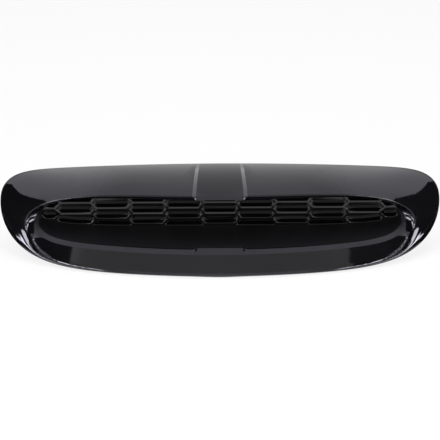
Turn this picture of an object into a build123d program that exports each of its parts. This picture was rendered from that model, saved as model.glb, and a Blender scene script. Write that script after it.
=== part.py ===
from build123d import *
import math
import os
from dataclasses import dataclass, replace

os.makedirs("parts", exist_ok=True)

# Bonnet scoop, in millimetres. +X is the viewer's right, -Y the front, +Z up.
# Heights below count from the base of the chin and depths from the middle of the scoop.
# The finished pieces are moved so that the frame starts midway between the inner studs,
# level with the faces of their bosses.

# Overall skin
HALF_WIDTH = 241.0        # centre line to the widest point of the outer edge
REAR_HEIGHT = 78.5        # outer edge at the rear, on the centre line
SIDE_HEIGHT = 53.0        # height of the widest point
FRONT_Y = -60.0           # outer edge under the chin, on the centre line
FRONT_HEIGHT = -1.6       # height of that edge
REAR_Y = 60.5             # outer edge at the rear, on the centre line
FRONT_SWEEP = 36.0        # how far that edge falls back from centre to side
REAR_SWEEP = 19.5         # how far the rear edge comes forward from centre to side
WALL = 2.8                # thickness of the moulding
SKIN_BULGE = 0.085        # fullness of roof and cheeks, as a share of the skin's span

# Mouth
MOUTH_HALF_WIDTH = 212.0
LIP_HEIGHT = 72.3         # front edge of the roof
LIP_Y = -16.0
CHIN_Y = -61.5            # foremost point of the rim, below the chin band
CHIN_HEIGHT = 1.4         # height of that point
LIP_DEPTH = 6.0           # height of the lip's front face, under the roof edge
RIM_LAND = 2.4            # width of the rim's flat, at the sides and the chin
RIM_ROUND = 1.3           # set-back of the small rounds on both edges of the rim
NOSE_LIMIT = 2.2          # solid depth behind the rim, in wall thicknesses at most

# Sill and throat
SILL_HEIGHT = 23.5        # top of the chin band
SILL_Y = -50.0
SILL_LEDGE = 3.8          # set-back of the flat ledge on top of the sill
THROAT_HALF_WIDTH = 197.0
THROAT_TOP = 64.5
THROAT_BOTTOM = 22.0
THROAT_Y = 18.0           # plane where the duct ends and the grille starts

# Raised strip down the middle of the roof
STRIP_FRONT_WIDTH = 51.0
STRIP_REAR_WIDTH = 44.0
STRIP_FLANK = 4.2         # width of the sloping flank on each side
STRIP_FRONT_RISE = 2.4
STRIP_REAR_RISE = 0.5
STRIP_NOSE = 2.4          # how far the strip stands in front of the lip
STRIP_DROP = 3.0          # how far the strip's nose hangs below the roof edge
STRIP_END = 0.8           # the strip stops this far before the rear edge

# Raised pad in the middle of the sill
PAD_WIDTH = 49.0
PAD_FLANK = 6.0
PAD_RISE = 2.2
PAD_LENGTH = 15.0

# Honeycomb grille
CELL_PITCH = 39.7         # centre to centre of neighbouring columns
CELL_HEIGHT = 13.0        # centre to centre of neighbouring rows
CELL_BASE = 24.1          # height of the lowest level wall in the middle column
CELL_SLANT = 5.4          # sideways run of each slanting wall
CELL_WALL = 2.8
CELL_DEPTH = 8.5
GRILLE_BACK = 2.0
GRILLE_FLANGE = 2.5       # thickness of the flange that the screws clamp
FRAME_LAP = 1.2           # how far the grille's frame covers the duct's end
BODY_LAP = 1.4            # how far the grille's deep body reaches past the duct's inside

# Grille screws, self-tapping, driven from the rear
SCREW_R = 1.75
SCREW_LENGTH = 9.0
SCREW_HEAD_R = 3.2
SCREW_HEAD_HEIGHT = 2.4
SCREW_FIT = 0.05          # clearance round each screw
SCREW_ROOM = 0.3          # clearance between a screw's head and the grille's body
SCREW_BOSS_R = 3.6        # the bosses stay clear of the roof above them
SCREW_BOSS_LENGTH = 9.0
SCREW_UPPER = (0.15, 0.42)  # places along the throat, as shares of its half width
SCREW_LOWER = (0.3, 0.75)

# Mounting studs, set in bosses under the roof
STUD_R = 3.0
STUD_REACH = 20.0         # free length below the boss
STUD_HEAD_R = 4.0         # knurled head, held inside the boss
STUD_SET = 6.0            # length of that head
STUD_FIT = 0.02
STUD_BOSS_R = 7.0
STUD_BOSS_END = 66.0      # height of the boss faces
STUD_INNER_X = 75.0
STUD_OUTER_X = 160.0
STUD_Y = 44.0

# Stiffening webs inside the moulding
WEB_THICKNESS = 2.0
WEB_PLACES = (36.0, 100.0, 150.0)
WEB_GAP = 0.5             # the webs stop this far in front of the grille's flange
WEB_SETBACK = 6.0         # height of the webs at the outer edge

# Locating tongues under the chin, that hook below the bonnet's opening
TONGUE_X = 85.0
TONGUE_WIDTH = 18.0
TONGUE_LENGTH = 19.0
TONGUE_THICKNESS = 2.4

# Foam seal under the outer edge
SEAL_WIDTH = 2.0          # side of its square section
SEAL_FIT = 0.2            # adhesive between the seal and the edge

STATIONS = 14             # loft steps from the centre line to the side


@dataclass
class Ring:
    """Half of a closed curve round the mouth, from top centre over the side to bottom centre."""

    half_width: float
    top: float
    side: float
    bottom: float
    top_power: float
    bottom_power: float
    front: float
    front_sweep: float
    rear: float
    rear_sweep: float
    sweep_power: float = 2.0
    rake_power: float = 0.0   # 0: the upper half keeps to the rear line, the lower to the front

    def at(self, share, lower):
        """Point at a share of the half width, on the upper or lower half."""
        rise = math.sqrt(1 - abs(share) ** (self.bottom_power if lower else self.top_power))
        height = self.side + ((self.bottom if lower else self.top) - self.side) * rise
        raked = 0.0 if lower else 1.0
        if self.rake_power > 0:
            raked = max(0.0, (height - self.bottom) / (self.top - self.bottom)) ** self.rake_power
        front = self.front + self.front_sweep * abs(share) ** self.sweep_power
        rear = self.rear + self.rear_sweep * share**2
        return Vector(self.half_width * share, front + (rear - front) * raked, height)

    def grown(self, margin):
        """The same curve with a margin added all round."""
        return replace(
            self,
            half_width=self.half_width + margin,
            top=self.top + margin,
            bottom=self.bottom - margin,
        )


EDGE = Ring(HALF_WIDTH, REAR_HEIGHT, SIDE_HEIGHT, FRONT_HEIGHT, 16, 7.5,
            FRONT_Y, FRONT_SWEEP, REAR_Y, -REAR_SWEEP, sweep_power=1.8, rake_power=0.85)
RIM_OUT = Ring(MOUTH_HALF_WIDTH, LIP_HEIGHT, 36, CHIN_HEIGHT, 3.8, 10,
               CHIN_Y, 36, LIP_Y, 28, rake_power=0.86)
RIM_IN = Ring(MOUTH_HALF_WIDTH - RIM_LAND * 0.85, LIP_HEIGHT - LIP_DEPTH, 36, CHIN_HEIGHT + RIM_LAND, 5.2, 10,
              CHIN_Y + RIM_LAND * 0.25, 36, LIP_Y + LIP_DEPTH * 0.5, 26, rake_power=0.86)
SILL = Ring(THROAT_HALF_WIDTH + 2, THROAT_TOP + 0.6, 36, SILL_HEIGHT, 5, 14,
            SILL_Y, 32, LIP_Y + 15, 34, rake_power=0.86)
THROAT = Ring(THROAT_HALF_WIDTH, THROAT_TOP, 36, THROAT_BOTTOM, 5, 5,
              THROAT_Y, 0, THROAT_Y, 0)


def stations():
    """Shares of the half width where the moulding is sectioned, upper half first."""
    steps = [(k / STATIONS) ** 1.5 for k in range(STATIONS + 1)]
    shares = [step * (2 - step) for step in steps]
    upper = [(share, False) for share in shares]
    lower = [(share, True) for share in reversed(shares[:-1])]
    return upper + lower


def along(ring, share, lower):
    """Unit direction of a ring at a station, from top centre towards bottom centre."""
    if share > 0.999:
        return Vector(0, 0, -1)
    step = 0.001
    run = ring.at(share + step, lower) - ring.at(share - step, lower)
    return (run * (-1 if lower else 1)).normalized()


def bent(ahead, behind):
    """Offset direction at a corner between two faces, of the length a mitre needs."""
    return (ahead + behind) / (1 + ahead.dot(behind))


class Section:
    """One closed cut through the moulding, from the outer edge round the rim to the throat."""

    def __init__(self, share, lower):
        at = [ring.at(share, lower) for ring in (EDGE, RIM_OUT, RIM_IN, SILL, THROAT)]
        self.edge, self.rim_out, self.rim_in, self.sill, self.throat = at
        way = along(EDGE, share, lower)
        rim_way = along(RIM_OUT, share, lower)
        sill_way = along(SILL, share, lower)
        throat_way = along(THROAT, share, lower)
        span = self.rim_out - self.edge
        full = span.cross(way + rim_way).normalized() * (SKIN_BULGE * span.length)
        self.handle_1 = self.edge + span / 3 + full
        self.handle_2 = self.edge + span * (2 / 3) + full
        self.edge_normal = (self.handle_1 - self.edge).cross(way).normalized()
        self.roof_normal = span.cross(way + rim_way).normalized()
        self.brow_normal = (self.rim_out - self.handle_2).cross(rim_way).normalized()
        self.band_normal = (self.sill - self.rim_in).cross(rim_way + sill_way).normalized()
        self.duct_normal = (self.throat - self.sill).cross(sill_way + throat_way).normalized()

    def outside(self):
        """Edges of the visible side."""
        skin_end = towards(self.rim_out, self.handle_2, RIM_ROUND)
        out_end = towards(self.rim_out, self.rim_in, RIM_ROUND)
        in_start = towards(self.rim_in, self.rim_out, RIM_ROUND)
        in_end = towards(self.rim_in, self.sill, RIM_ROUND)
        sill_start = towards(self.sill, self.rim_in, SILL_LEDGE)
        sill_end = towards(self.sill, self.throat, SILL_LEDGE)
        return [
            Edge.make_bezier(self.edge, self.handle_1, self.handle_2, skin_end),
            Edge.make_bezier(skin_end, self.rim_out, out_end),
            Edge.make_line(out_end, in_start),
            Edge.make_bezier(in_start, self.rim_in, in_end),
            Edge.make_line(in_end, sill_start),
            Edge.make_line(sill_start, sill_end),
            Edge.make_line(sill_end, self.throat),
        ]

    def inner(self, wall):
        """Corners of the hidden side, a wall thickness behind the visible one."""
        edge = self.edge - self.edge_normal * wall
        handle_1 = self.handle_1 - self.roof_normal * wall
        handle_2 = self.handle_2 - self.roof_normal * wall
        behind = bent(self.brow_normal, self.band_normal)
        rim = (self.rim_out + self.rim_in) / 2 - behind * (wall * min(1, NOSE_LIMIT / behind.length))
        sill = self.sill - bent(self.band_normal, self.duct_normal) * wall
        throat = self.throat - self.duct_normal * wall
        throat = Vector(throat.X, self.throat.Y, throat.Z)
        return edge, handle_1, handle_2, rim, sill, throat

    def inside(self, wall):
        """Edges of the hidden side, from the throat back to the outer edge."""
        edge, handle_1, handle_2, rim, sill, throat = self.inner(wall)
        return [
            Edge.make_line(throat, sill),
            Edge.make_line(sill, rim),
            Edge.make_bezier(rim, handle_2, handle_1, edge),
        ]

    def wall_wire(self):
        """Closed outline of the moulded wall."""
        outside = self.outside()
        inside = self.inside(WALL)
        throat_end = Edge.make_line(self.throat, inside[0] @ 0)
        edge_end = Edge.make_line(inside[-1] @ 1, self.edge)
        return Wire(outside + [throat_end] + inside + [edge_end])

    def hollow_wire(self):
        """Closed outline of the hollow behind the wall, reaching half way into it."""
        inside = self.inside(WALL / 2)
        throat, edge = inside[0] @ 0, inside[-1] @ 1
        corner = edge - self.edge_normal * WEB_SETBACK
        return Wire(inside + [Edge.make_line(edge, corner), Edge.make_line(corner, throat)])

    def seal_corners(self):
        """Corners of the seal's square section, close behind the end of the outer edge."""
        back = (self.edge - self.handle_1).normalized()
        start = self.edge - self.edge_normal * ((WALL - SEAL_WIDTH) / 2) + back * SEAL_FIT
        across, deep = self.edge_normal * SEAL_WIDTH, back * SEAL_WIDTH
        return [start, start - across, start - across + deep, start + deep]


def towards(start, end, reach):
    """Point near a corner on the way to its neighbour, at most 45 % of the way."""
    run = end - start
    return start + run * min(reach / run.length, 0.45)


def both_sides(half):
    """A half on the +X side, joined with its mirror image."""
    return half.fuse(half.mirror(Plane.YZ))


def ring_face(ring, depth):
    """Flat face bounded by a ring, at a depth."""
    side = [ring.at(share, lower) for share, lower in stations()[::2]]
    points = [(p.X, depth, p.Z) for p in side]
    points += [(-p.X, depth, p.Z) for p in reversed(side[1:-1])]
    return Face(Wire(Edge.make_spline(points, periodic=True)))


def slab(face, thickness):
    """Solid behind a face that looks along Y."""
    return Solid.extrude(face, Vector(0, thickness, 0))


def rod(centre, radius, start, length, axis):
    """Round bar along an axis, its first end face at a distance from the centre."""
    plane = Plane(origin=centre + axis * start, z_dir=axis)
    return Solid.make_cylinder(radius, length, plane)


def strip():
    """Raised strip along the middle of the roof, wrapped over the lip."""
    cut = Section(0, False)
    buried = WALL * 0.6

    def profile(half_front, half_rear, lift):
        """Outline of the strip on one plane, standing proud by a share of its rise."""
        def place(point, up, ahead):
            y = point.Y - ahead
            x = half_front + (half_rear - half_front) * (y - LIP_Y) / (REAR_Y - LIP_Y)
            return Vector(x, y, point.Z + up)

        front, rear = STRIP_FRONT_RISE * lift - 0.1, STRIP_REAR_RISE * lift - 0.1
        ahead, drop = STRIP_NOSE * lift - 0.1, STRIP_DROP * lift + 0.3
        top = [
            place(cut.edge, rear, STRIP_END),
            place(cut.handle_1, rear + (front - rear) / 3, 0),
            place(cut.handle_2, front, 0),
            place(cut.rim_out, front * 0.4, ahead * 0.6),
        ]
        chin = place(cut.rim_out, -drop, ahead)
        root = place(cut.rim_out, -drop - 1.5, -2.0)
        under = [
            place(cut.rim_out, -buried, -3.5),
            place(cut.handle_2, -buried, 0),
            place(cut.handle_1, -buried, 0),
            place(cut.edge, -buried, STRIP_END),
        ]
        return Wire([
            Edge.make_bezier(*top),
            Edge.make_line(top[-1], chin),
            Edge.make_line(chin, root),
            Edge.make_line(root, under[0]),
            Edge.make_bezier(*under),
            Edge.make_line(under[-1], top[0]),
        ])

    front, rear = STRIP_FRONT_WIDTH / 2, STRIP_REAR_WIDTH / 2
    wires = [
        profile(-front - STRIP_FLANK, -rear - STRIP_FLANK, 0),
        profile(-front, -rear, 1),
        profile(front, rear, 1),
        profile(front + STRIP_FLANK, rear + STRIP_FLANK, 0),
    ]
    return Solid.make_loft(wires, ruled=True)


def sill_pad():
    """Raised pad in the middle of the sill."""
    cut = Section(0, True)

    def profile(x, rise):
        """Outline of the pad on one plane."""
        lift = cut.duct_normal * rise
        start = towards(cut.sill, cut.rim_in, SILL_LEDGE)
        crown = towards(cut.sill, cut.throat, SILL_LEDGE)
        end = towards(cut.sill, cut.throat, PAD_LENGTH)
        deep = cut.duct_normal * (-WALL / 2)
        points = [start, crown + lift, end + lift * 0.5, end + deep, crown + deep, start - cut.band_normal * (WALL / 2)]
        return Wire.make_polygon([Vector(x, p.Y, p.Z) for p in points], close=True)

    inner = PAD_WIDTH / 2
    places = [(-inner - PAD_FLANK, 0), (-inner, 1), (inner, 1), (inner + PAD_FLANK, 0)]
    return Solid.make_loft([profile(x, PAD_RISE * lift - 0.1) for x, lift in places], ruled=True)


def screw_places():
    """Centres of the grille screws, on the plane where the duct ends."""
    places = []
    for lower, shares in ((False, SCREW_UPPER), (True, SCREW_LOWER)):
        for share in shares:
            on_ring = THROAT.at(share, lower)
            out = along(THROAT, share, lower).cross(Vector(0, 1, 0)).normalized()
            centre = on_ring + out * (BODY_LAP + SCREW_ROOM + SCREW_HEAD_R)
            places += [centre, Vector(-centre.X, centre.Y, centre.Z)]
    return places


def stud_places():
    """Feet of the mounting studs, on the faces of their bosses."""
    return [
        Vector(side * x, STUD_Y, STUD_BOSS_END)
        for x in (STUD_INNER_X, STUD_OUTER_X)
        for side in (-1, 1)
    ]


def web(hollow, x):
    """Stiffening web that fills the hollow of the moulding on one plane."""
    front = 2 * CHIN_Y
    corner = (x - WEB_THICKNESS / 2, front, -REAR_HEIGHT)
    plate = Solid.make_box(WEB_THICKNESS, THROAT_Y - WEB_GAP - front, 3 * REAR_HEIGHT, Plane(corner))
    return plate.intersect(hollow)


def tongue(x):
    """Flat tongue that runs back from inside the chin, above the seal."""
    rim = RIM_OUT.at(x / MOUTH_HALF_WIDTH, True)
    ends = (x - TONGUE_WIDTH / 2, x + TONGUE_WIDTH / 2)
    seal_top = max(p.Z for end in ends for p in Section(end / HALF_WIDTH, True).seal_corners())
    corner = (x - TONGUE_WIDTH / 2, rim.Y + WALL * 0.8, seal_top + 2 * SEAL_FIT)
    return Solid.make_box(TONGUE_WIDTH, TONGUE_LENGTH, TONGUE_THICKNESS, Plane(corner))


def make_cover():
    """The moulded cover: skin, rim, sill and duct with its strip, pad, webs and bosses."""
    cuts = [Section(share, lower) for share, lower in stations()]
    half = Solid.make_loft([cut.wall_wire() for cut in cuts])
    hollow = Solid.make_loft([cut.hollow_wire() for cut in cuts])
    webs = [piece for x in WEB_PLACES for piece in web(hollow, x)]
    half = half.fuse(*webs, tongue(TONGUE_X))
    cover = both_sides(half).fuse(strip(), sill_pad())
    for foot in stud_places():
        ceiling = min(p.Z for p, _ in cover.find_intersection_points(Axis(foot, (0, 0, 1))) if p.Z > foot.Z)
        cover = cover.fuse(rod(foot, STUD_BOSS_R, 0, ceiling - foot.Z + WALL / 2, Vector(0, 0, 1)))
    for centre in screw_places():
        cover = cover.fuse(rod(centre, SCREW_BOSS_R, -SCREW_BOSS_LENGTH, SCREW_BOSS_LENGTH, Vector(0, 1, 0)))
    for foot in stud_places():
        cover = cover.cut(rod(foot, STUD_HEAD_R + STUD_FIT, 0, STUD_SET, Vector(0, 0, 1)))
    for centre in screw_places():
        depth = SCREW_LENGTH - GRILLE_FLANGE + 0.5
        cover = cover.cut(rod(centre, SCREW_R + SCREW_FIT, -depth, depth, Vector(0, 1, 0)))
    return cover


def hexagon(x, z):
    """One flat-topped pocket of the honeycomb, as a solid behind the grille's front."""
    half_flat = (CELL_PITCH - CELL_SLANT) / 2 - CELL_WALL / 2
    half_wide = half_flat + CELL_SLANT
    half_high = (CELL_HEIGHT - CELL_WALL) / 2
    corners = [
        (half_flat, half_high), (half_wide, 0), (half_flat, -half_high),
        (-half_flat, -half_high), (-half_wide, 0), (-half_flat, half_high),
    ]
    points = [Vector(x + cx, THROAT_Y, z + cz) for cx, cz in corners]
    return slab(Face(Wire.make_polygon(points, close=True)), CELL_DEPTH)


def make_grille():
    """Honeycomb insert: flange, deep body and blind six-sided pockets."""
    reach = BODY_LAP + 2 * SCREW_HEAD_R + 1
    flange = slab(ring_face(THROAT.grown(reach), THROAT_Y), GRILLE_FLANGE)
    body = slab(ring_face(THROAT.grown(BODY_LAP), THROAT_Y), CELL_DEPTH + GRILLE_BACK)
    window = slab(ring_face(THROAT.grown(-FRAME_LAP), THROAT_Y), CELL_DEPTH)
    grille = flange.fuse(body)
    columns = math.ceil(THROAT_HALF_WIDTH / CELL_PITCH)
    rows = math.ceil((THROAT_TOP - THROAT_BOTTOM) / CELL_HEIGHT) + 2
    cells = []
    for column in range(-columns, columns + 1):
        start = CELL_BASE - CELL_HEIGHT / 2 * (1 + column % 2)
        cells += [hexagon(column * CELL_PITCH, start + row * CELL_HEIGHT) for row in range(rows)]
    pockets = [cell & window for cell in cells]
    grille = grille.cut(*[pocket for pocket in pockets if pocket])
    holes = [rod(c, SCREW_R + SCREW_FIT, 0, GRILLE_FLANGE, Vector(0, 1, 0)) for c in screw_places()]
    return grille.cut(*holes)


def make_screw(centre):
    """Self-tapping screw with a pan head and a cross recess."""
    back = Vector(0, 1, 0)
    head_start = GRILLE_FLANGE
    shank = rod(centre, SCREW_R, head_start - SCREW_LENGTH, SCREW_LENGTH, back)
    head = rod(centre, SCREW_HEAD_R, head_start, SCREW_HEAD_HEIGHT, back)
    rim = head.edges().sort_by(Axis.Y)[-1]
    head = head.chamfer(SCREW_HEAD_HEIGHT * 0.35, None, [rim])
    top = centre + back * (head_start + SCREW_HEAD_HEIGHT)
    long, slim, deep = SCREW_HEAD_R * 1.1, SCREW_HEAD_R * 0.26, SCREW_HEAD_HEIGHT * 0.5
    recess = [Pos(*top) * Box(long, 2 * deep, slim), Pos(*top) * Box(slim, 2 * deep, long)]
    return shank.fuse(head).cut(*[box.solid() for box in recess])


def make_stud(foot):
    """Mounting stud with a bevelled end and a head set in its boss."""
    down = Vector(0, 0, -1)
    head = rod(foot, STUD_HEAD_R, -STUD_SET, STUD_SET, down)
    stud = rod(foot, STUD_R, 0, STUD_REACH, down)
    stud = stud.chamfer(STUD_R * 0.3, None, [stud.edges().sort_by(Axis.Z)[0]])
    return head.fuse(stud)


def make_seal():
    """Closed foam seal of square section under the outer edge."""
    cuts = [Section(share, lower).seal_corners() for share, lower in stations()]
    rails = [Edge.make_spline(points, tangents=[(1, 0, 0), (-1, 0, 0)]) for points in zip(*cuts)]
    sides = [Face.make_surface_from_curves(rails[k - 1], rails[k]) for k in range(4)]
    ends = [Face(Wire.make_polygon(cuts[end], close=True)) for end in (0, -1)]
    return both_sides(Solid(Shell(sides + ends)))


def put(shape, node):
    """Move a piece into the mount's frame and write it out as one node."""
    export_step(shape.moved(Location((0, -STUD_Y, -STUD_BOSS_END))), f"parts/{node}.step")


put(make_cover(), "scoop_cover")
put(make_grille(), "honeycomb_grille")
put(Compound([make_screw(centre) for centre in screw_places()]), "grille_screws")
put(Compound([make_stud(foot) for foot in stud_places()]), "mounting_studs")
put(make_seal(), "edge_seal")
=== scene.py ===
"""Studio picture of a gloss-black bonnet scoop with a raised roof strip and a honeycomb grille.

Sizes are in millimetres in the part's own frame, and become metres where Blender takes them.
"""

import logging
import math
from dataclasses import dataclass, replace
from enum import Enum
from typing import Any

import bmesh
import bpy
from mathutils import Matrix, Vector


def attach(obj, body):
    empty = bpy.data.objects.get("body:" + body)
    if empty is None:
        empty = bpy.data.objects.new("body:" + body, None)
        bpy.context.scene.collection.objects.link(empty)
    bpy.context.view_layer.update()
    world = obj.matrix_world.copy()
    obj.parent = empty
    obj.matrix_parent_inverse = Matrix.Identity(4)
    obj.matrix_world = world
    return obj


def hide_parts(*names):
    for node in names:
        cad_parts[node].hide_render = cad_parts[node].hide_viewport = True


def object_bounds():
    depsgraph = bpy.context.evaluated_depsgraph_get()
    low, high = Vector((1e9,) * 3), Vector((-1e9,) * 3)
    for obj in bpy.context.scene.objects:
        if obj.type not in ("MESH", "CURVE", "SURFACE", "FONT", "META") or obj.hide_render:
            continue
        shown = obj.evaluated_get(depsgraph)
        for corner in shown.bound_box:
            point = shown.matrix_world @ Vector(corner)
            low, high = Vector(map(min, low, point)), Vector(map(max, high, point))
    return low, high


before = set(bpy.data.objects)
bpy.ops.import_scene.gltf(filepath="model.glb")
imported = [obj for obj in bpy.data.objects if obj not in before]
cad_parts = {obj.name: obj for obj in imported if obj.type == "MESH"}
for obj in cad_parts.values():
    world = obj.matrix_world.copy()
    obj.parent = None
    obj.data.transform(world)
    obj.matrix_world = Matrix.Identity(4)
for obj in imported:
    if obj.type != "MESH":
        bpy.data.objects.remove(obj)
CAD_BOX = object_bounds()
LOG = logging.getLogger("bonnet_scoop")
PATCH_SPREAD = (0.35, 0.65)     # values of a noise between which most of it lies
PATCH_DETAIL = 3.0              # finer layers in the noise of a finish's patches
GRAIN_DETAIL = 2.0              # finer layers in the noise of its grain
LEAST_SIDE = 0.1                # shorter sides of an outline are left out


class Slot(Enum):
    """Short names for the pieces that are made here, which the script does not use."""

    GRILLE = "grille"
    STUD = "stud"


class Side(Enum):
    """Sides of the scoop as the camera sees them."""

    LEFT = -1
    RIGHT = 1


def metres(size: float) -> float:
    """Turn millimetres into Blender's metres."""
    return size / 1000.0


def point(x: float, y: float, z: float) -> Vector:
    """Turn a place in millimetres into Blender's metres."""
    return Vector((x, y, z)) / 1000.0


def linear(colour: str) -> tuple[float, float, float, float]:
    """Turn an sRGB hex colour into linear light.

    Args:
        colour: Six hex digits after a hash.

    Returns:
        Red, green, blue and alpha, from 0 to 1.
    """
    channels = [int(colour[k:k + 2], 16) / 255 for k in (1, 3, 5)]
    light = [c / 12.92 if c <= 0.04045 else ((c + 0.055) / 1.055) ** 2.4 for c in channels]
    return light[0], light[1], light[2], 1.0


def add_node(
    tree: bpy.types.NodeTree, kind: str, links: dict[str | int, Any] | None = None, **settings: Any,
) -> bpy.types.Node:
    """Add one node to a tree.

    Args:
        tree: Node tree that takes the node.
        kind: Blender's name for the kind of node.
        links: Input names or numbers, each with a socket to link or a value to set.
        **settings: Properties of the node itself.

    Returns:
        The new node.
    """
    node = tree.nodes.new(kind)
    for name, value in settings.items():
        setattr(node, name, value)
    for name, value in (links or {}).items():
        if isinstance(value, bpy.types.NodeSocket):
            tree.links.new(value, node.inputs[name])
        else:
            node.inputs[name].default_value = value
    return node


def per_metre(size: float) -> float:
    """Texture scale that draws one feature in each length of so many millimetres."""
    return 1000.0 / size


@dataclass(frozen=True)
class Finish:
    """A real material and the way its surface was made."""

    name: str
    dark: str
    light: str
    patch: float            # size of the faint patches of colour
    grain: float            # size of the surface's grain
    relief: float           # depth of that grain
    smooth: float           # roughness where the surface is at its smoothest
    dull: float             # roughness where it is at its dullest
    metal: float = 0.0
    ior: float = 1.5
    glint: str = "#ffffff"  # colour of the reflections

    def material(self) -> bpy.types.Material:
        """Make the material.

        Returns:
            A material with its colour, roughness and relief from patterns.
        """
        material = bpy.data.materials.new(self.name)
        material.use_nodes = True
        tree = material.node_tree
        tree.nodes.clear()
        place = add_node(tree, "ShaderNodeTexCoord").outputs["Object"]
        patches = add_node(
            tree, "ShaderNodeTexNoise",
            {"Vector": place, "Scale": per_metre(self.patch), "Detail": PATCH_DETAIL},
        ).outputs["Fac"]
        colour = add_node(tree, "ShaderNodeValToRGB", {"Fac": patches})
        for stop, position, shade in zip(colour.color_ramp.elements, PATCH_SPREAD, (self.dark, self.light)):
            stop.position = position
            stop.color = linear(shade)
        rough = self.roughness(tree, place, patches)
        bump = add_node(
            tree, "ShaderNodeBump",
            {"Height": self.height(tree, place), "Distance": metres(self.relief), "Strength": 1.0},
        ).outputs["Normal"]
        shader = add_node(
            tree, "ShaderNodeBsdfPrincipled",
            {"Base Color": colour.outputs["Color"], "Roughness": rough, "Normal": bump,
             "Metallic": self.metal, "IOR": self.ior, "Specular Tint": linear(self.glint)},
        )
        add_node(tree, "ShaderNodeOutputMaterial", {"Surface": shader.outputs["BSDF"]})
        return material

    def roughness(
        self, tree: bpy.types.NodeTree, place: bpy.types.NodeSocket, patches: bpy.types.NodeSocket,
    ) -> bpy.types.NodeSocket:
        """Pattern of the surface's roughness.

        Args:
            tree: Node tree of the material.
            place: Socket with the place on the object; not used here.
            patches: Socket with the pattern of faint patches.

        Returns:
            Socket with the roughness.
        """
        low, high = PATCH_SPREAD
        return add_node(
            tree, "ShaderNodeMapRange",
            {"Value": patches, "From Min": low, "From Max": high, "To Min": self.smooth, "To Max": self.dull},
        ).outputs["Result"]

    def height(self, tree: bpy.types.NodeTree, place: bpy.types.NodeSocket) -> bpy.types.NodeSocket:
        """Pattern of the surface's relief.

        Args:
            tree: Node tree of the material.
            place: Socket with the place on the object.

        Returns:
            Socket with the height, from 0 to 1.
        """
        grain = add_node(
            tree, "ShaderNodeTexNoise",
            {"Vector": place, "Scale": per_metre(self.grain), "Detail": GRAIN_DETAIL},
        )
        return grain.outputs["Fac"]


@dataclass(frozen=True)
class FoamFinish(Finish):
    """Closed-cell foam, with a relief of small cells."""

    def height(self, tree: bpy.types.NodeTree, place: bpy.types.NodeSocket) -> bpy.types.NodeSocket:
        """Pattern of the foam's open skin: one pit for each cell.

        Args:
            tree: Node tree of the material.
            place: Socket with the place on the object.

        Returns:
            Socket with the height, from 0 to 1.
        """
        cells = add_node(tree, "ShaderNodeTexVoronoi", {"Vector": place, "Scale": per_metre(self.grain)})
        return cells.outputs["Distance"]


@dataclass(frozen=True)
class DuctFinish(Finish):
    """A gloss finish that is left dull inside the duct, behind the sill's ledge."""

    duct_rough: float = 0.42
    duct_half_width: float = 203.0
    duct_top: float = -0.5          # on the centre line
    duct_drop: float = 24.0         # how much lower the duct's top is at its side
    duct_square: float = 6.0        # how late, towards the side, that drop begins
    ledge_rear: float = -89.0       # rear edge of the ledge on the centre line
    ledge_sweep: float = 32.0       # how far that edge falls back at the duct's side
    blend: float = 1.5              # width of the change from gloss to dull

    def roughness(
        self, tree: bpy.types.NodeTree, place: bpy.types.NodeSocket, patches: bpy.types.NodeSocket,
    ) -> bpy.types.NodeSocket:
        """Roughness of the gloss, and of the duller duct.

        Args:
            tree: Node tree of the material.
            place: Socket with the place on the object.
            patches: Socket with the pattern of faint patches.

        Returns:
            Socket with the roughness.
        """
        gloss = super().roughness(tree, place, patches)
        edge = metres(self.duct_half_width)
        axes = add_node(tree, "ShaderNodeSeparateXYZ", {"Vector": place}).outputs
        out = add_node(tree, "ShaderNodeMath", {0: axes["X"]}, operation="ABSOLUTE").outputs["Value"]
        share = add_node(tree, "ShaderNodeMath", {0: out, 1: edge}, operation="DIVIDE").outputs["Value"]
        square = add_node(tree, "ShaderNodeMath", {0: share, 1: 2.0}, operation="POWER").outputs["Value"]
        ledge = add_node(
            tree, "ShaderNodeMath",
            {0: square, 1: metres(self.ledge_sweep), 2: metres(self.ledge_rear)}, operation="MULTIPLY_ADD",
        ).outputs["Value"]
        bend = add_node(
            tree, "ShaderNodeMath", {0: share, 1: self.duct_square}, operation="POWER",
        ).outputs["Value"]
        top = add_node(
            tree, "ShaderNodeMath",
            {0: bend, 1: metres(-self.duct_drop), 2: metres(self.duct_top)}, operation="MULTIPLY_ADD",
        ).outputs["Value"]
        behind = add_node(
            tree, "ShaderNodeMath", {0: axes["Y"], 1: ledge}, operation="SUBTRACT",
        ).outputs["Value"]
        below = add_node(
            tree, "ShaderNodeMath", {0: top, 1: axes["Z"]}, operation="SUBTRACT",
        ).outputs["Value"]
        within = add_node(tree, "ShaderNodeMath", {0: edge, 1: out}, operation="SUBTRACT").outputs["Value"]
        lower = add_node(tree, "ShaderNodeMath", {0: below, 1: within}, operation="MINIMUM").outputs["Value"]
        depth = add_node(tree, "ShaderNodeMath", {0: behind, 1: lower}, operation="MINIMUM").outputs["Value"]
        return add_node(
            tree, "ShaderNodeMapRange",
            {"Value": depth, "From Max": metres(self.blend), "To Min": gloss, "To Max": self.duct_rough},
        ).outputs["Result"]


# ABS moulded against a mirror-polished tool: deep black, sharp reflections with a slow, faint waviness.
# Inside the duct the tool is only ground, and the black there has no more than a soft sheen.
GLOSS_ABS = DuctFinish(
    "abs_moulded_high_gloss", "#08080a", "#0c0c0e", 70, 24, 0.012, 0.035, 0.07, ior=1.53, glint="#f4f1ff",
)
# ABS of the insert, moulded in a polished tool without a mirror finish: black with slightly soft highlights
POLISHED_ABS = Finish("abs_moulded_polished", "#040405", "#070708", 30, 6, 0.006, 0.06, 0.1, ior=1.53)
# Steel with black zinc plating: dark metal with dull, cloudy patches
BLACK_ZINC = Finish("steel_black_zinc_plated", "#2c2c30", "#3b3b40", 2.5, 0.4, 0.01, 0.32, 0.5, metal=1.0)
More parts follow.
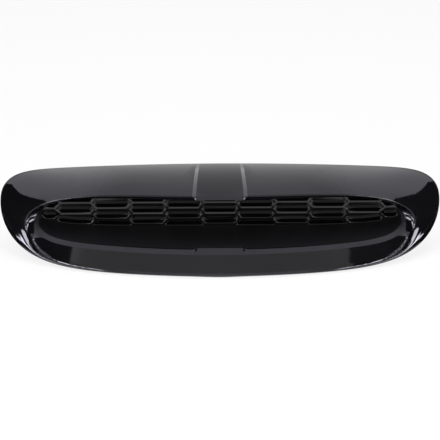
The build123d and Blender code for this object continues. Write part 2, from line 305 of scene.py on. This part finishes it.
# Steel with bright zinc plating: pale metal with a slightly cloudy shine
BRIGHT_ZINC = Finish("steel_bright_zinc_plated", "#a9adb2", "#c3c6c9", 3.0, 0.3, 0.006, 0.22, 0.36, metal=1.0)
# Foamed EPDM rubber, cut to a strip: charcoal, dull, with small open cells
FOAM_EPDM = FoamFinish("epdm_foamed_cut", "#151515", "#1f1f1f", 6, 0.5, 0.12, 0.8, 0.95, ior=1.5)


def dress(obj: bpy.types.Object, finish: Finish) -> None:
    """Give an object one finish all over."""
    obj.data.materials.clear()
    obj.data.materials.append(finish.material())


def area(outline: list[Vector]) -> float:
    """Area inside a flat closed outline, anticlockwise counted as positive."""
    return sum(a.x * b.y - b.x * a.y for a, b in zip(outline, outline[1:] + outline[:1])) / 2


def clipped(outline: list[Vector], window: list[Vector]) -> list[Vector]:
    """Part of an outline that lies inside a bulging window.

    Args:
        outline: Closed outline to cut, anticlockwise.
        window: Closed outline that keeps its inside, anticlockwise.

    Returns:
        The outline that is left, without very short sides.
    """
    kept = outline
    for start, end in zip(window, window[1:] + window[:1]):
        along = end - start
        sides = [along.x * (p.y - start.y) - along.y * (p.x - start.x) for p in kept]
        cut = []
        for k, here in enumerate(kept):
            before, inside, inside_before = kept[k - 1], sides[k] >= 0, sides[k - 1] >= 0
            if inside != inside_before:
                cut.append(before.lerp(here, sides[k - 1] / (sides[k - 1] - sides[k])))
            if inside:
                cut.append(here)
        kept = cut
        if not kept:
            return []
    return [p for k, p in enumerate(kept) if (p - kept[k - 1]).length > LEAST_SIDE]


def shrunk(outline: list[Vector], inset: float) -> list[Vector]:
    """Move every side of a closed outline inwards.

    Args:
        outline: Closed outline, anticlockwise.
        inset: Distance that each side moves.

    Returns:
        The smaller outline, with as many points.
    """
    moved = []
    for k, here in enumerate(outline):
        ahead = (outline[(k + 1) % len(outline)] - here).normalized()
        behind = (here - outline[k - 1]).normalized()
        inward = Vector((-ahead.y - behind.y, ahead.x + behind.x)) / (1 + ahead.dot(behind))
        moved.append(here + inward * inset)
    return moved


def bridge(
    shape: bmesh.types.BMesh, first: list[bmesh.types.BMVert], second: list[bmesh.types.BMVert],
) -> None:
    """Join two closed rows of as many points with faces.

    Args:
        shape: Mesh under construction.
        first: One row of points.
        second: The other row, in the same order.
    """
    for k in range(len(first)):
        shape.faces.new((first[k - 1], first[k], second[k], second[k - 1])).smooth = True


def loop_edges(shape: bmesh.types.BMesh, row: list[bmesh.types.BMVert]) -> list[bmesh.types.BMEdge]:
    """Edges of one closed row of points."""
    return [shape.edges.get((row[k - 1], row[k])) for k in range(len(row))]


def new_piece(name: str, shape: bmesh.types.BMesh) -> bpy.types.Object:
    """Turn a finished shape into an object of the scene.

    Args:
        name: Name of the piece.
        shape: Its mesh under construction, which is used up.

    Returns:
        The new object.
    """
    mesh = bpy.data.meshes.new(name)
    shape.to_mesh(mesh)
    shape.free()
    obj = bpy.data.objects.new(name, mesh)
    bpy.context.scene.collection.objects.link(obj)
    return obj


@dataclass
class Cover:
    """Moulded cover with its rim, sill, strip, webs and bosses."""

    node: str = "scoop_cover"

    def build(self) -> bpy.types.Object:
        """Take the cover from the part."""
        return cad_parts[self.node]

    def dress(self, obj: bpy.types.Object) -> None:
        """Give the cover its gloss."""
        dress(obj, GLOSS_ABS)


@dataclass
class Grille:
    """Honeycomb insert behind the mouth, with every edge slightly rounded."""

    node: str = "honeycomb_grille"
    front: float = -26.0            # depth of its front face in the part's frame
    half_width: float = 197.0       # inside of the duct
    top: float = -1.5
    side: float = -30.0
    bottom: float = -44.0
    fullness: float = 5.0           # how square the outline's corners are
    cell_pitch: float = 39.7
    cell_height: float = 13.0
    cell_base: float = -41.9        # height of the lowest level wall in the middle column
    cell_slant: float = 5.4
    cell_wall: float = 2.8
    cell_depth: float = 8.5
    cell_draft: float = 0.25        # how much narrower a pocket is at its back
    cell_bevel: float = 0.3         # bevel round a pocket's floor
    least_cell: float = 12.0        # area of the smallest pocket that the frame leaves
    spare_rows: int = 2             # rows that start below the frame or end above it
    edge_round: float = 0.7
    round_steps: int = 3
    bar_lean: float = 0.24          # how far a bar's upper edge is set back behind its lower edge
    lean_from: float = -35.0        # height up to which the bars stand upright
    lean_to: float = -31.0          # height above which they have their full lean
    frame_lap: float = -1.2
    body_lap: float = 1.4
    flange_lap: float = 8.8
    flange_depth: float = 2.5
    body_depth: float = 10.5
    steps: int = 40                 # points on a quarter of the outline

    def outline(self, lap: float) -> list[Vector]:
        """Closed outline round the duct, seen from the front.

        Args:
            lap: How far the outline lies outside the duct.

        Returns:
            Points with x and height, anticlockwise.
        """
        def at(share: float, end: float) -> Vector:
            """Point at a share of the half width, on the side of one end of the height."""
            rise = math.sqrt(max(0.0, 1 - share ** self.fullness))
            return Vector(((self.half_width + lap) * share, self.side + (end - self.side) * rise))

        turns = [math.sin(math.pi / 2 * k / self.steps) for k in range(self.steps + 1)]
        upper = [at(share, self.top + lap) for share in reversed(turns)]
        lower = [at(share, self.bottom - lap) for share in turns]
        left_upper = [Vector((-p.x, p.y)) for p in reversed(upper[:-1])]
        left_lower = [Vector((-p.x, p.y)) for p in reversed(lower[1:-1])]
        return upper + left_upper + left_lower + lower[:-1]

    def cells(self) -> list[tuple[float, list[Vector]]]:
        """Pockets of the honeycomb, cut off at the frame.

        Returns:
            Height of the middle and outline of each pocket.
        """
        window = self.outline(self.frame_lap)
        half_flat = (self.cell_pitch - self.cell_slant - self.cell_wall) / 2
        half_wide = half_flat + self.cell_slant
        half_high = (self.cell_height - self.cell_wall) / 2
        corners = [
            Vector((half_wide, 0)), Vector((half_flat, half_high)), Vector((-half_flat, half_high)),
            Vector((-half_wide, 0)), Vector((-half_flat, -half_high)), Vector((half_flat, -half_high)),
        ]
        columns = math.ceil(self.half_width / self.cell_pitch)
        rows = math.ceil((self.top - self.bottom) / self.cell_height) + self.spare_rows
        found = []
        for column in range(-columns, columns + 1):
            start = self.cell_base - self.cell_height / 2 * (1 + column % 2)
            for row in range(rows):
                middle = Vector((column * self.cell_pitch, start + row * self.cell_height))
                cell = clipped([middle + corner for corner in corners], window)
                if area(cell) > self.least_cell:
                    found.append((middle.y, cell))
        return found

    def build(self) -> bpy.types.Object:
        """Make the grille's mesh.

        Returns:
            The grille, which stands for the part's own.
        """
        shape = bmesh.new()
        edge = self.edge_round
        quarter = [math.pi / 2 * k / self.round_steps for k in range(self.round_steps + 1)]
        rounded = [(-edge * (1 - math.sin(a)), edge * (1 - math.cos(a))) for a in quarter]
        floor = [
            (self.cell_draft, self.cell_depth - self.cell_bevel),
            (self.cell_draft + self.cell_bevel, self.cell_depth),
        ]
        rims = []
        for level, cell in self.cells():
            loops = [self.loop(shape, shrunk(cell, inset), depth) for inset, depth in rounded + floor]
            for row in loops[:len(rounded)]:
                self.lean(row, level)
            for first, second in zip(loops, loops[1:]):
                bridge(shape, first, second)
            shape.faces.new(loops[-1])
            rims.append(loops[0])
        back = [
            (self.flange_lap, 0.0), (self.flange_lap, self.flange_depth), (self.body_lap, self.flange_depth),
            (self.body_lap, self.body_depth - edge), (self.body_lap - edge, self.body_depth),
        ]
        loops = [self.loop(shape, self.outline(lap), depth) for lap, depth in back]
        for first, second in zip(loops, loops[1:]):
            bridge(shape, second, first)
        shape.faces.new(list(reversed(loops[-1])))
        rims.append(loops[0])
        edges = [e for rim in rims for e in loop_edges(shape, rim)]
        bmesh.ops.triangle_fill(shape, use_beauty=True, edges=edges, normal=(0, -1, 0))
        bmesh.ops.recalc_face_normals(shape, faces=shape.faces)
        obj = new_piece("honeycomb_moulding", shape)
        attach(obj, "root")
        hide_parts(self.node)
        return obj

    def loop(self, shape: bmesh.types.BMesh, outline: list[Vector], depth: float) -> list[bmesh.types.BMVert]:
        """Add one closed row of points at a depth behind the front face."""
        return [shape.verts.new(point(p.x, self.front + depth, p.y)) for p in outline]

    def lean(self, row: list[bmesh.types.BMVert], level: float) -> None:
        """Set back the lower points of a pocket's rim, so that the upper bars' faces look slightly upwards.

        Args:
            row: Points of the rim.
            level: Height of the pocket's middle.
        """
        for vert in row:
            height = vert.co.z / metres(1)
            share = min(1.0, max(0.0, (height - self.lean_from) / (self.lean_to - self.lean_from)))
            drop = min(1.0, max(0.0, 0.5 - (height - level) / self.cell_height))
            vert.co.y += metres(self.bar_lean) * share * drop

    def dress(self, obj: bpy.types.Object) -> None:
        """Give the grille its surface."""
        dress(obj, POLISHED_ABS)


@dataclass
class Screws:
    """Self-tapping screws that hold the grille from the rear."""

    node: str = "grille_screws"

    def build(self) -> bpy.types.Object:
        """Take the screws from the part."""
        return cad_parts[self.node]

    def dress(self, obj: bpy.types.Object) -> None:
        """Give the screws their plating."""
        dress(obj, BLACK_ZINC)


@dataclass
class Studs:
    """Threaded studs that fix the scoop to the bonnet."""

    node: str = "mounting_studs"
    places: tuple[float, ...] = (-160.0, -75.0, 75.0, 160.0)
    radius: float = 3.0
    reach: float = 20.0
    head_radius: float = 4.0
    head_height: float = 6.0
    pitch: float = 1.0
    thread_depth: float = 0.6
    crest_share: float = 0.12       # share of half a turn that a crest or a root is flat
    plain: float = 1.2              # length without thread under the boss
    tip_bevel: float = 0.9
    head_bevel: float = 0.15
    around: int = 32
    rows_per_turn: int = 10

    def thread(self, drop: float, turn: float) -> float:
        """Radius of the thread.

        Args:
            drop: Distance below the boss.
            turn: Share of a full turn round the stud.

        Returns:
            Radius in millimetres.
        """
        wave = abs(2 * ((drop / self.pitch + turn) % 1) - 1)
        slope = (wave - self.crest_share) / (1 - 2 * self.crest_share)
        cut = min(1.0, max(0.0, slope)) * self.thread_depth
        fade = min(1.0, max(0.0, (drop - self.plain) / self.pitch))
        tip = max(0.0, drop - self.reach + self.tip_bevel)
        return min(self.radius - cut * fade, self.radius - tip)

    def build(self) -> bpy.types.Object:
        """Make the studs' mesh.

        Returns:
            The studs, which stand for the part's own.
        """
        shape = bmesh.new()
        rows = round(self.reach / self.pitch * self.rows_per_turn)
        drops = [self.reach * k / rows for k in range(rows + 1)]
        turns = [k / self.around for k in range(self.around)]
        head = [
            (self.head_radius, -self.head_height), (self.head_radius, -self.head_bevel),
            (self.head_radius - self.head_bevel, 0.0),
        ]
        for x in self.places:
            loops = [self.loop(shape, x, [radius] * self.around, drop) for radius, drop in head]
            for drop in drops:
                loops.append(self.loop(shape, x, [self.thread(drop, turn) for turn in turns], drop))
            for first, second in zip(loops, loops[1:]):
                bridge(shape, first, second)
            shape.faces.new(loops[0])
            shape.faces.new(loops[-1])
        bmesh.ops.recalc_face_normals(shape, faces=shape.faces)
        obj = new_piece("threaded_studs", shape)
        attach(obj, "root")
        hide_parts(self.node)
        return obj

    def loop(
        self, shape: bmesh.types.BMesh, x: float, radii: list[float], drop: float,
    ) -> list[bmesh.types.BMVert]:
        """Add one closed row of points round a stud.

        Args:
            shape: Mesh under construction.
            x: Place of the stud.
            radii: Distance of each point from the stud's axis.
            drop: Distance below the boss.

        Returns:
            The new points.
        """
        angles = [2 * math.pi * k / self.around for k in range(self.around)]
        return [
            shape.verts.new(point(x + radius * math.cos(angle), radius * math.sin(angle), -drop))
            for radius, angle in zip(radii, angles)
        ]

    def dress(self, obj: bpy.types.Object) -> None:
        """Give the studs their plating."""
        dress(obj, BRIGHT_ZINC)


@dataclass
class Seal:
    """Foam strip under the outer edge."""

    node: str = "edge_seal"

    def build(self) -> bpy.types.Object:
        """Take the seal from the part."""
        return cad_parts[self.node]

    def dress(self, obj: bpy.types.Object) -> None:
        """Give the seal its foam surface."""
        dress(obj, FOAM_EPDM)


@dataclass(frozen=True)
class Board:
    """A flat board or lamp in the studio, placed by where the scoop sees it."""

    azimuth: float          # degrees from straight behind the scoop towards +X
    elevation: float        # degrees above the scoop's level
    distance: float
    width: float
    height: float
    roll: float = 0.0       # degrees that it is turned in its own plane

    def stance(self) -> Matrix:
        """Place of the board, with its face towards the scoop.

        Returns:
            The matrix that takes the board's own axes to the studio.
        """
        turn = Matrix.Rotation(math.radians(-self.azimuth), 4, "Z")
        tilt = Matrix.Rotation(math.radians(self.elevation - 90), 4, "X")
        lift = Matrix.Translation((0, 0, metres(self.distance)))
        centre = (Vector(CAD_BOX[0]) + Vector(CAD_BOX[1])) / 2
        spin = Matrix.Rotation(math.radians(self.roll), 4, "Z")
        return Matrix.Translation(centre) @ turn @ tilt @ lift @ spin

    def mirrored(self) -> "Board":
        """The same board on the scoop's other side."""
        return replace(self, azimuth=-self.azimuth, roll=-self.roll)


def both_sides(boards: tuple[Board, ...]) -> tuple[Board, ...]:
    """Boards together with their copies on the scoop's other side."""
    return boards + tuple(board.mirrored() for board in boards)


@dataclass(frozen=True)
class Paper:
    """A lit sheet of paper that fades into the white round it."""

    name: str
    boards: tuple[Board, ...]
    level: float            # brightness in its middle, beside white
    fade: float             # share of its half size over which it fades
    tint: str = "#ffffff"

    def surface(self, board: Board) -> bpy.types.Material:
        """Make the surface of one sheet.

        Args:
            board: The sheet, for its size.

        Returns:
            The new material.
        """
        material = bpy.data.materials.new(f"{self.name}_paper_lit")
        material.use_nodes = True
        tree = material.node_tree
        tree.nodes.clear()
        place = add_node(tree, "ShaderNodeTexCoord").outputs["Object"]
        spread = (per_metre(board.width / 2), per_metre(board.height / 2), 1.0)
        share = add_node(tree, "ShaderNodeVectorMath", {0: place, 1: spread}, operation="MULTIPLY")
        ring = add_node(
            tree, "ShaderNodeTexGradient", {"Vector": share.outputs["Vector"]}, gradient_type="SPHERICAL",
        )
        strength = add_node(
            tree, "ShaderNodeMapRange",
            {"Value": ring.outputs["Fac"], "From Max": self.fade, "To Min": 1.0, "To Max": self.level},
            interpolation_type="SMOOTHSTEP",
        )
        glow = add_node(
            tree, "ShaderNodeEmission", {"Color": linear(self.tint), "Strength": strength.outputs["Result"]},
        )
        add_node(tree, "ShaderNodeOutputMaterial", {"Surface": glow.outputs["Emission"]})
        return material


def stage_mesh(name: str, width: float, height: float, stance: Matrix) -> bpy.types.Object:
    """Add one flat rectangle to the stage.

    Args:
        name: Name of the object.
        width: Its width in millimetres.
        height: Its height in millimetres.
        stance: Its place.

    Returns:
        The new object, marked as part of the stage.
    """
    mesh = bpy.data.meshes.new(name)
    shape = bmesh.new()
    # Blender's size is half a side, so this is a square of one metre
    bmesh.ops.create_grid(shape, x_segments=1, y_segments=1, size=0.5)
    bmesh.ops.scale(shape, vec=(metres(width), metres(height), 1), verts=shape.verts)
    shape.to_mesh(mesh)
    shape.free()
    obj = bpy.data.objects.new(name, mesh)
    obj.matrix_world = stance
    bpy.context.scene.collection.objects.link(obj)
    return obj


@dataclass
class Studio:
    """Pale floor, even light all round, and boards and softboxes that the gloss mirrors."""

    floor_size: float = 12000.0
    floor_colour: str = "#f2f2f2"
    shadow_share: float = 0.2       # share of the floor's picture that takes shadow
    felt: str = "#030303"
    # Felt that the cheeks, the roof's front corners and the dark ends of the chin mirror
    side_flags: tuple[Board, ...] = (Board(99, 20, 1100, 960, 1040), Board(138, 57, 2500, 970, 790))
    front_flags: tuple[Board, ...] = (
        Board(180, 48.5, 2500, 1710, 1280),
        Board(-131.3, 19.6, 1634, 315, 395),
        Board(134.5, 19.7, 1628, 502, 395),
    )
    # Felt that lies on the floor beside the scoop
    floor_flag_x: tuple[float, float] = (245.0, 1000.0)
    floor_flag_y: tuple[float, float] = (-450.0, 250.0)
    floor_flag_lift: float = 1.0
    # Lit papers that the chin, the middle of the roof and its two halves mirror
    papers: tuple[Paper, ...] = (
        Paper("front_card", (Board(180, 23, 3000, 5200, 1300),), 0.66, 0.1, "#fffdf3"),
        Paper("rear_strip", (Board(0, 32, 3000, 235, 5000),), 0.8, 0.2),
        Paper("side_wall", both_sides((Board(66, 13, 3000, 9800, 9200),)), 1.7, 0.24),
    )
    # Softboxes on both sides, mirrored as bright streaks on the cheeks and round the ends of the mouth
    softboxes: tuple[Board, ...] = (
        Board(142, 34.2, 4000, 829, 883, 6.4),
        Board(115.4, 6.1, 1146, 667, 53, -44.1),
        Board(126, 5.2, 974, 157, 372, -35.1),
        Board(122.6, -2.7, 842, 140, 36, -50.3),
    )
    softbox_level: float = 12.0     # brightness of the softboxes beside white
    overhead: Board = Board(0, 90, 1700, 1600, 1000)
    overhead_watts: float = 14.0
    fill: float = 0.5               # brightness of the even light all round

    def floor(self) -> None:
        """Lay the floor under the scoop's lowest point."""
        stance = Matrix.Translation((0, 0, CAD_BOX[0][2]))
        obj = stage_mesh("floor", self.floor_size, self.floor_size, stance)
        material = bpy.data.materials.new("floor_paper_matt")
        material.use_nodes = True
        tree = material.node_tree
        tree.nodes.clear()
        paper = add_node(tree, "ShaderNodeBsdfDiffuse", {"Color": linear(self.floor_colour)})
        glow = add_node(tree, "ShaderNodeEmission", {"Color": (1, 1, 1, 1), "Strength": 1.0})
        share = add_node(
            tree, "ShaderNodeMapRange", {"Value": self.seen(tree), "To Max": 1 - self.shadow_share},
        )
        mixed = add_node(
            tree, "ShaderNodeMixShader",
            {0: share.outputs["Result"], 1: paper.outputs["BSDF"], 2: glow.outputs["Emission"]},
        )
        add_node(tree, "ShaderNodeOutputMaterial", {"Surface": mixed.outputs["Shader"]})
        obj.data.materials.append(material)

    def matt(self, name: str, colour: str) -> bpy.types.Material:
        """Plain matt surface for a board.

        Args:
            name: Name of the material.
            colour: Its sRGB hex colour.

        Returns:
            The new material.
        """
        material = bpy.data.materials.new(name)
        material.use_nodes = True
        tree = material.node_tree
        tree.nodes.clear()
        felt = add_node(tree, "ShaderNodeBsdfDiffuse", {"Color": linear(colour)})
        add_node(tree, "ShaderNodeOutputMaterial", {"Surface": felt.outputs["BSDF"]})
        return material

    def board(
        self, name: str, width: float, height: float, stance: Matrix, surface: bpy.types.Material,
    ) -> None:
        """Stand one board that only reflections see.

        Args:
            name: Name of the board.
            width: Its width in millimetres.
            height: Its height in millimetres.
            stance: Its place.
            surface: Its material.
        """
        obj = stage_mesh(name, width, height, stance)
        obj.data.materials.append(surface)
        obj.visible_camera = False
        obj.visible_diffuse = False
        obj.visible_shadow = False

    def boards(self) -> None:
        """Stand the dark flags beside, under and before the scoop, and the lit papers round it."""
        felt = self.matt("flag_felt_black", self.felt)
        (near, far), (front, rear) = self.floor_flag_x, self.floor_flag_y
        for side in Side:
            middle = point(side.value * (near + far) / 2, (front + rear) / 2, self.floor_flag_lift)
            middle.z += CAD_BOX[0][2]
            self.board("floor_flag", far - near, rear - front, Matrix.Translation(middle), felt)
        for flag in both_sides(self.side_flags) + self.front_flags:
            self.board("flag", flag.width, flag.height, flag.stance(), felt)
        for paper in self.papers:
            for sheet in paper.boards:
                self.board(paper.name, sheet.width, sheet.height, sheet.stance(), paper.surface(sheet))

    def lamp(self, name: str, board: Board, watts: float, mirrored_in_gloss: bool) -> None:
        """Hang one softbox.

        Args:
            name: Name of the lamp.
            board: Its place and size.
            watts: Its power.
            mirrored_in_gloss: Whether gloss shows its shape.
        """
        data = bpy.data.lights.new(name, "AREA")
        data.shape = "RECTANGLE"
        data.size = metres(board.width)
        data.size_y = metres(board.height)
        data.energy = watts
        obj = bpy.data.objects.new(name, data)
        obj.matrix_world = board.stance()
        obj.visible_glossy = mirrored_in_gloss
        bpy.context.scene.collection.objects.link(obj)

    def seen(self, tree: bpy.types.NodeTree) -> bpy.types.NodeSocket:
        """Tell the rays that make the picture from those that only light it.

        Args:
            tree: Node tree of the material or world.

        Returns:
            Socket that is 1 for rays of the camera, of reflections and through clear pieces.
        """
        path = add_node(tree, "ShaderNodeLightPath")
        both = add_node(
            tree, "ShaderNodeMath",
            {0: path.outputs["Is Camera Ray"], 1: path.outputs["Is Glossy Ray"]}, operation="MAXIMUM",
        )
        every = add_node(
            tree, "ShaderNodeMath",
            {0: both.outputs["Value"], 1: path.outputs["Is Transmission Ray"]}, operation="MAXIMUM",
        )
        return every.outputs["Value"]

    def light(self) -> None:
        """Light the scoop with an even surround and the softboxes."""
        world = bpy.data.worlds.new("studio")
        world.use_nodes = True
        tree = world.node_tree
        tree.nodes.clear()
        strength = add_node(
            tree, "ShaderNodeMapRange", {"Value": self.seen(tree), "To Min": self.fill, "To Max": 1.0},
        )
        sky = add_node(
            tree, "ShaderNodeBackground", {"Color": (1, 1, 1, 1), "Strength": strength.outputs["Result"]},
        )
        add_node(tree, "ShaderNodeOutputWorld", {"Surface": sky.outputs["Background"]})
        bpy.context.scene.world = world
        for board in both_sides(self.softboxes):
            size = metres(board.width) * metres(board.height)
            self.lamp("softbox", board, self.softbox_level * math.pi * size, True)
        self.lamp("softbox_overhead", self.overhead, self.overhead_watts, False)


@dataclass
class View:
    """Camera at the picture's angle."""

    target: tuple[float, float, float] = (0.0, -45.1, -28.4)
    distance: float = 1600.0
    elevation: float = 25.0
    roll: float = -0.3
    lens: float = 120.1
    sensor: float = 36.0

    def place(self) -> bpy.types.Object:
        """Set up the camera.

        Returns:
            The camera, which the scene then uses.
        """
        tilt = math.radians(self.elevation)
        back = Vector((0, -math.cos(tilt), math.sin(tilt)))
        across = Vector((1, 0, 0))
        up = back.cross(across)
        axes = Matrix((across, up, back)).transposed().to_4x4()
        turn = axes @ Matrix.Rotation(math.radians(self.roll), 4, "Z")
        data = bpy.data.cameras.new("camera")
        data.lens = self.lens
        data.sensor_width = self.sensor
        camera = bpy.data.objects.new("camera", data)
        camera.matrix_world = Matrix.Translation(point(*self.target) + back * metres(self.distance)) @ turn
        bpy.context.scene.collection.objects.link(camera)
        bpy.context.scene.camera = camera
        return camera


def main() -> None:
    """Build the scoop, dress it and set up its studio."""
    logging.basicConfig(level=logging.INFO, format="%(name)s: %(message)s")
    bpy.context.scene.view_settings.view_transform = "Standard"
    for assembly in (Cover(), Grille(), Screws(), Studs(), Seal()):
        piece = assembly.build()
        assembly.dress(piece)
        LOG.info("%s: %d faces", piece.name, len(piece.data.polygons))
    studio = Studio()
    studio.floor()
    studio.boards()
    studio.light()
    View().place()


if __name__ == "__main__":
    main()
